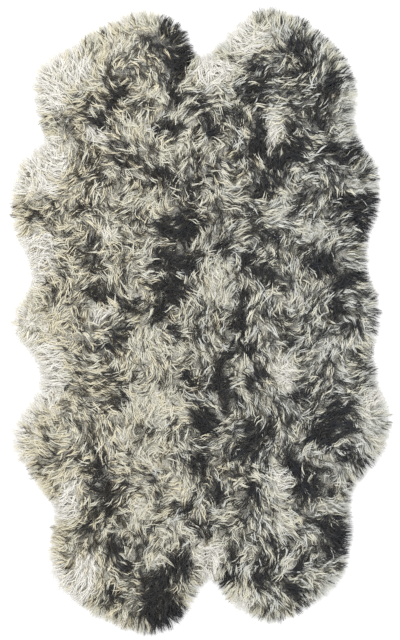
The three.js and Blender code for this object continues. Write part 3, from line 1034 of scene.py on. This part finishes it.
# the whitest wool in the palest shades is partly painted light
WHITE_AND_LIT_BELOW, WHITE_FADE = 0.24, 0.2  # cream turns to the whitest wool in the palest shades
TINTED = (0.4, 0.5)  # between these shades the tips take on their tint
PALE_FIBRES = (0.88, 0.16, 0.25, 0.75)  # least light, how much more, and noise from where to where
# grey fibres among the black tips: partly their own colour, partly a painted sheen
DARK_FIBRES_AND_SHEEN = (0.3, 2.2, 0.35, 0.7)


def ramp(graph, value, stops, interpolation="LINEAR"):
    """A colour ramp from stops of a position and a colour or a number."""
    wire = graph.node("ShaderNodeValToRGB", values={"Fac": value})
    colours = wire.socket.node.color_ramp
    colours.interpolation = interpolation
    while len(colours.elements) < len(stops):
        colours.elements.new(1.0)
    for element, (position, colour) in zip(colours.elements, stops):
        element.position = position
        element.color = (*(colour if isinstance(colour, tuple) else (colour,) * 3), 1.0)
    return wire


def mixed(graph, share, one, other):
    """A mix of two colours."""

    def rgba(colour):
        return colour if isinstance(colour, Wire) else (*colour, 1.0)

    return graph.node(
        "ShaderNodeMix", {"data_type": "RGBA"}, {"Factor": share, "A": rgba(one), "B": rgba(other)}
    )


def streaks(graph, fibres, least, more, start, end, power=1):
    """How light each fibre is."""
    return least + graph.ease(fibres, start, end) ** power * more


def wool_material():
    material, graph, connect = new_material("wool", roughness=0.72, sheen=0.12)
    place = graph.node("ShaderNodeUVMap", {"uv_map": "OFBake"})
    column, share, _ = parts_of(graph, place)
    shade = graph.maths("FRACT", column * TONES)
    cream = ramp(graph, column, CREAMS, "CONSTANT")
    # whiter in the palest shades, partly as painted light
    cream = mixed(graph, graph.ease(WHITE_AND_LIT_BELOW - shade, 0.0, WHITE_FADE), cream, WHITEST_AND_LIT)
    tip = ramp(graph, shade, TIPS)
    tint = ramp(graph, column, TIP_TINTS, "CONSTANT")
    tip = mixed(graph, graph.ease(shade, *TINTED), tip, graph.vector("MULTIPLY", tip, tint))
    lowest = min(number for _, number in DARK_FROM)
    raised = tuple((position, number - lowest) for position, number in DARK_FROM)
    start = parts_of(graph, ramp(graph, shade, raised))[0] + lowest
    fibres = graph.node(
        "ShaderNodeTexNoise", {"noise_dimensions": "1D"}, {"W": column * FIBRES, "Detail": 1.0}
    )
    mask = graph.ease((share - start + (fibres - 0.5) * RAGGED) / TURN_LENGTH)
    pale = cream * streaks(graph, fibres, *PALE_FIBRES)
    # dark tips with lighter fibres, partly a painted sheen
    dark = tip * streaks(graph, fibres, *DARK_FIBRES_AND_SHEEN, power=2)
    connect(mixed(graph, mask, pale, dark), "Base Color")
    return material


wool = wool_material()
print("the wool's palette has", TONES, "tones of cream")

# %% [markdown]
# The under-wool shows between the locks. Seen close it is a mass of small tufts, combed the same way
# as the locks. Voronoi cells are the tufts. Noise that is stretched along the comb, measured from the
# middle of the cell, draws the fibres on each. Where the locks are dark, so are many of its fibres.

# %% The under-wool's finish
TUFTS = 120.0  # tufts along a metre
FINE = 420.0  # fibres along a metre, across the comb
LONG = 60.0  # the same along the comb
APART = 5000.0  # so far apart in the noise are two tufts a metre apart
# the palest under-wool is partly painted light, whitening the pad against its shade at the rim
UNDERWOOL_PALEST_AND_LIT, UNDERWOOL_CREAM = (0.93, 0.91, 0.84), (0.74, 0.72, 0.64)
UNDERWOOL_DARK, DARK_STRENGTH = (0.035, 0.035, 0.033), 0.9
CREAM_FROM = (0.02, 0.4)  # between these shares of dark locks the palest wool turns to cream
GRIZZLE, GRIZZLED = 2.4, (0.45, 0.8)  # how unevenly, and between which shares, fibres turn dark
UNDERWOOL_FIBRES = (0.8, 0.25, 0.3, 0.7)  # as for the wool's pale fibres


def bump(graph, height, strength, distance):
    values = {"Height": height, "Strength": strength, "Distance": distance}
    return graph.node("ShaderNodeBump", values=values)


def underwool_material():
    material, graph, connect = new_material("underwool", roughness=0.9, sheen=0.1)
    place = graph.node("ShaderNodeTexCoord", out="Object")
    tuft = graph.node("ShaderNodeTexVoronoi", values={"Vector": place, "Scale": TUFTS}, out="Position")
    comb = graph.node("ShaderNodeAttribute", {"attribute_name": "comb"}, out="Vector")
    comb_x, comb_y, _ = parts_of(graph, comb)
    from_tuft = place - tuft
    along = graph.vector("DOT_PRODUCT", from_tuft, comb)
    across = graph.vector("DOT_PRODUCT", from_tuft, vector_of(graph, comb_y, -comb_x))
    run = vector_of(graph, across * FINE, along * LONG) + tuft * APART
    fibres = graph.node("ShaderNodeTexNoise", values={"Vector": run, "Detail": 1.0})
    dark = graph.node("ShaderNodeAttribute", {"attribute_name": "dark"}, out="Fac")
    grizzle = graph.ease(dark + (fibres - 0.5) * GRIZZLE, *GRIZZLED)
    # palest where the locks are palest, as at the rim: partly its own colour, partly painted light
    cream = mixed(graph, graph.ease(dark, *CREAM_FROM), UNDERWOOL_PALEST_AND_LIT, UNDERWOOL_CREAM)
    pale = cream * streaks(graph, fibres, *UNDERWOOL_FIBRES)
    connect(mixed(graph, grizzle * DARK_STRENGTH, pale, UNDERWOOL_DARK), "Base Color")
    depth = graph.node("ShaderNodeTexVoronoi", values={"Vector": place, "Scale": TUFTS})
    connect(bump(graph, fibres - depth, strength=0.9, distance=0.0015), "Normal")
    return material


underwool = underwool_material()
for piece in pads.values():
    piece.data.materials.append(underwool)
print("the pads are finished")

# %% [markdown]
# Two crops grow on each pad. The wool proper covers it evenly. A thin crop of fine, pale, longer hairs
# stands at the free edge, where they give the rug its soft outline. Their paleness is partly painted
# light against the shade near the floor.

# %% Growing the wool
RIM_GROWTH = 0.3  # how much denser the wool grows at the rim
WISP_FOCUS = 3  # how closely the wisps keep to the rim
CROPS = {
    "wool_": {"Seed": 3, "Wool": wool},
    "wisps_": {
        "Density": 70000.0,
        "Lock Spacing": 0.009,
        "Length": 0.055,
        "Overhang": 0.012,
        "Width": 0.0007,
        "Thickness": 0.0004,
        "Curl": 0.004,
        "Gather": 0.3,
        "Spread": 0.9,
        "Segments": 3,
        "Seed": 11,
        "Wool": wool,
    },
}


def field_mesh(pelt):
    """The pad's top alone, with what the strands need to know at each of its points."""
    _, top, faces = surfaces[pelt]
    mesh = bpy.data.meshes.new("field")
    mesh.from_pydata(top.tolist(), [], faces)
    flat = top[:, :2]
    rim = at_rim(flat)
    comb, mess = combed(flat)
    room = rim_distance(flat) - COMB_LINE + RIM_HAIR
    facts = {"comb": comb, "mess": mess, "room": room, "dark": darkness(flat), "warm": warmth(flat)}
    for name, values in {**facts, "rim": rim}.items():
        add_attribute(mesh, name, values)
    return mesh, rim


def grow(name, mesh, tree, inputs):
    """The piece that a node tree with some of its inputs filled in makes of a mesh."""
    live = link(name + "_live", mesh)
    modifier = live.modifiers.new(name, "NODES")
    modifier.node_group = tree
    for socket in tree.interface.items_tree:
        if socket.in_out == "INPUT" and socket.name in inputs:
            modifier[socket.identifier] = inputs[socket.name]
    grown = bpy.data.meshes.new_from_object(live.evaluated_get(bpy.context.evaluated_depsgraph_get()))
    bpy.data.objects.remove(live)
    for attribute in [item.name for item in grown.attributes if item.name in FACTS]:
        grown.attributes.remove(grown.attributes[attribute])
    grown.name = name
    return link(name, grown)


coats = {}
for pelt in PELTS:
    mesh, rim = field_mesh(pelt)
    growths = {"wool_": 1 + RIM_GROWTH * rim, "wisps_": rim**WISP_FOCUS}
    coats[pelt] = []
    for crop, growth in growths.items():
        add_attribute(mesh, "growth", growth)
        coats[pelt].append(grow(crop + pelt, mesh, strands, CROPS[crop]))
    print(pelt, [len(piece.data.polygons) for piece in coats[pelt]], "faces")

# %% [markdown]
# The underside is the flesh side of the skin, a pale suede. It keeps the flat sheet of the model. Large
# soft blotches, fine creases and a short nap come from noise of three sizes.

# %% The hides' finish
BLOTCHES, CREASES, NAP = 9.0, 160.0, 900.0  # features along a metre
SUEDE = ((0.68, 0.54, 0.38), (0.75, 0.63, 0.47))
SUEDE_PART = (0.35, 0.68)  # between which values of the blotches it goes from one to the other
NAP_LIGHT = (0.86, 0.28)  # least light, and how much more
CREASE_WIDTH = 0.12
CREASE_DEPTH, NAP_DEPTH = 0.5, 0.6  # beside the blotches' 1
SUEDE_ROUGHNESS = (0.75, 0.2)  # least, and how much more


def detailed_noise(graph, place, scale, detail):
    values = {"Vector": place, "Scale": scale, "Detail": detail}
    return graph.node("ShaderNodeTexNoise", values=values)


def hide_material():
    material, graph, connect = new_material("hide", roughness=0.85, sheen=0.15)
    place = graph.node("ShaderNodeTexCoord", out="Object")
    blotches = detailed_noise(graph, place, BLOTCHES, detail=5.0)
    nap = detailed_noise(graph, place, NAP, detail=3.0)
    creases = graph.node(
        "ShaderNodeTexVoronoi", {"feature": "DISTANCE_TO_EDGE"}, {"Vector": place, "Scale": CREASES}
    )
    tan = mixed(graph, graph.ease(blotches, *SUEDE_PART), *SUEDE)
    connect(tan * (NAP_LIGHT[0] + nap * NAP_LIGHT[1]), "Base Color")
    height = graph.ease(creases, 0.0, CREASE_WIDTH) * CREASE_DEPTH + nap * NAP_DEPTH + blotches
    connect(bump(graph, height, strength=0.5, distance=0.0004), "Normal")
    connect(SUEDE_ROUGHNESS[0] + blotches * SUEDE_ROUGHNESS[1], "Roughness")
    return material


suede = hide_material()
for skin in hides.values():
    for slot in skin.material_slots:
        slot.material = suede
print("the hides are suede")

# %% [markdown]
# A furrier joins pelts edge to edge with an overcast seam. Only its stitches show, and only from below:
# short slanting runs of waxed thread across the gap. A curve follows each seam, and a tree sets
# a stitch every few millimetres along it.

# %% Stitches along the seams
STITCH_PITCH = 0.006
STITCH_SIZE = (0.0062, 0.0011, 0.0008)
STITCH_SLANT = 1.1  # radians off the seam
STITCH_UNEVENNESS = 0.15  # radians more or less
STITCH_LEVEL = -0.0001
SEAM_END = 0.040  # no stitch this near to the rim's line
THREAD = ((0.70, 0.62, 0.46), (0.50, 0.42, 0.30))
THREAD_TWIST = 1400.0  # features along a metre
SEAMS = (
    ("far_left", "far_right"),
    ("near_left", "near_right"),
    ("far_left", "near_left"),
    ("far_right", "near_right"),
)


def seam_path(one, other):
    """The middle line between the borders of two neighbouring hides."""
    middles = []
    for point, (near, distance) in zip(borders[one], nearest(borders[one], borders[other])):
        if distance < SEAM_REACH:
            middles.append(((near.x + point[0]) / 2, (near.y + point[1]) / 2))
    middles = np.array(middles)
    run = middles.max(axis=0) - middles.min(axis=0)
    return middles[np.argsort(middles[:, int(run[1] > run[0])])]


def stitch_tree():
    inputs = {
        "Pitch": ("Float", STITCH_PITCH),
        "Slant": ("Float", STITCH_SLANT),
        "Thread": ("Material", None),
    }
    graph, wires = new_tree("stitches", inputs)
    path = graph.node("GeometryNodeMeshToCurve", values={"Mesh": wires["Geometry"]})
    points = graph.node(
        "GeometryNodeResampleCurve", {"mode": "LENGTH"}, {"Curve": path, "Length": wires["Pitch"]}
    )
    tangent = graph.node("GeometryNodeInputTangent")
    thread = graph.node("GeometryNodeMeshUVSphere", values={"Segments": 6, "Rings": 4, "Radius": 0.5})
    lie = graph.node("FunctionNodeAlignRotationToVector", {"axis": "X"}, {"Vector": tangent})
    off = graph.node(
        "FunctionNodeRandomValue",
        {"data_type": "FLOAT"},
        {"Min": -STITCH_UNEVENNESS, "Max": STITCH_UNEVENNESS, "Seed": 5},
    )
    slant = graph.node(
        "FunctionNodeAxisAngleToRotation", values={"Axis": (0, 0, 1), "Angle": wires["Slant"] + off}
    )
    lie = graph.node(
        "FunctionNodeRotateRotation", {"rotation_space": "LOCAL"}, {"Rotation": lie, "Rotate By": slant}
    )
    stitches = graph.node(
        "GeometryNodeInstanceOnPoints",
        values={"Points": points, "Instance": thread, "Rotation": lie, "Scale": STITCH_SIZE},
    )
    finish_tree(graph, stitches, wires["Thread"])
    return graph.tree


def thread_material():
    material, graph, connect = new_material("thread", roughness=0.55)
    place = graph.node("ShaderNodeTexCoord", out="Object")
    twist = graph.node("ShaderNodeTexNoise", values={"Vector": place, "Scale": THREAD_TWIST})
    connect(mixed(graph, twist, *THREAD), "Base Color")
    return material


paths = bpy.data.meshes.new("seams")
path_points, path_edges = [], []
for one, other in SEAMS:
    path = seam_path(one, other)
    path = path[rim_distance(path) > SEAM_END]
    first = len(path_points)
    path_points.extend((x, y, STITCH_LEVEL) for x, y in path)
    path_edges.extend((first + i, first + i + 1) for i in range(len(path) - 1))
paths.from_pydata(path_points, path_edges, [])
stitches = grow("stitches", paths, stitch_tree(), {"Thread": thread_material()})
print("stitches:", len(stitches.data.polygons), "faces")

# %% [markdown]
# Last, each piece rides on the rug's one body, and the solid fleece is hidden: the wool stands for it.
# Each hide is a sheet of skin, laid flat, and its wool lies on it. Its area is its volume over its
# thickness.

# %% Each piece on the rug's body
HIDE_THICKNESS = 0.002


def volume(mesh):
    """The volume inside a closed mesh."""
    points = [vertex.co for vertex in mesh.vertices]
    mesh.calc_loop_triangles()
    corners = ([points[index] for index in triangle.vertices] for triangle in mesh.loop_triangles)
    return sum(a.dot(b.cross(c)) for a, b, c in corners) / 6


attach(stitches, "root")
for pelt in PELTS:
    coat = [pads[pelt], *coats[pelt]]
    for piece in coat:
        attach(piece, "root")
        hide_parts("fleece_" + pelt)
    area = volume(hides[pelt].data) / HIDE_THICKNESS
